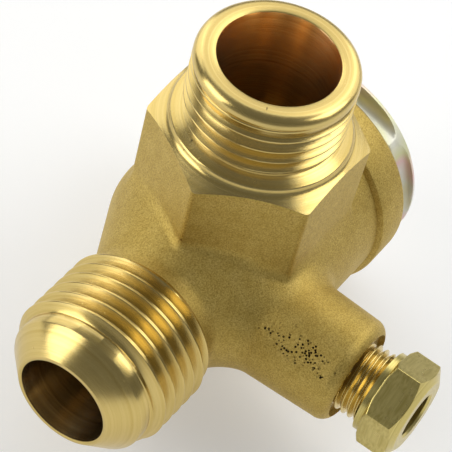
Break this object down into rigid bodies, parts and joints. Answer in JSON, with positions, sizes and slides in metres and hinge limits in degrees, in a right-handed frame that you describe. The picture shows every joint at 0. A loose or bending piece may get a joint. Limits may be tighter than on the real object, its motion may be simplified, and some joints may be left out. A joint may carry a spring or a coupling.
{
  "type": "non-return valve",
  "caption": "Forged brass elbow valve for a compressor's air tank: threaded tank port over a hexagon, flare inlet, plugged barrel and a small unloader outlet with its nut.",
  "frame": {"origin": "on the tank thread's axis, at the thread's foot", "axes": "+Z out of the tank port; the barrel lies along X with the flare inlet on -X and the plug on +X; the unloader outlet points along -Y"},
  "size_m": [0.0592, 0.051, 0.0507],
  "materials": {
    "forged_brass": "blasted forging, threads and nose turned bright",
    "turned_brass": "turned",
    "plated_steel": "yellow passivated zinc plate",
    "spring_steel": "drawn wire",
    "black_rubber": "matt"
  },
  "bodies": {
    "housing": {"body": "forged_brass", "end_plug": "plated_steel", "plug_seal": "black_rubber", "valve_spring": "spring_steel"},
    "valve": {"poppet": "turned_brass", "seat_disc": "black_rubber"},
    "gland": {"olive": "turned_brass"},
    "nut": {"compression_nut": "turned_brass"}
  },
  "joints": [
    {"name": "valve_lift", "type": "slide", "parent": "housing", "child": "valve", "axis": [1, 0, 0], "range_m": [0, 0.004], "stiffness_N_per_m": 150, "springref_m": -0.003, "deforming": ["valve_spring"]},
    {"name": "nut_travel", "type": "slide", "parent": "housing", "child": "gland", "axis": [0, -1, 0], "range_m": [0, 0.00151]},
    {"name": "nut_turn", "type": "hinge", "parent": "gland", "child": "nut", "pos_m": [-0.0072, -0.0289, -0.0243], "axis": [0, -1, 0], "range_deg": [0, 540]}
  ],
  "couplings": [
    {"joint": "nut_travel", "follows": "nut_turn", "m_per_rad": 0.00015915}
  ]
}
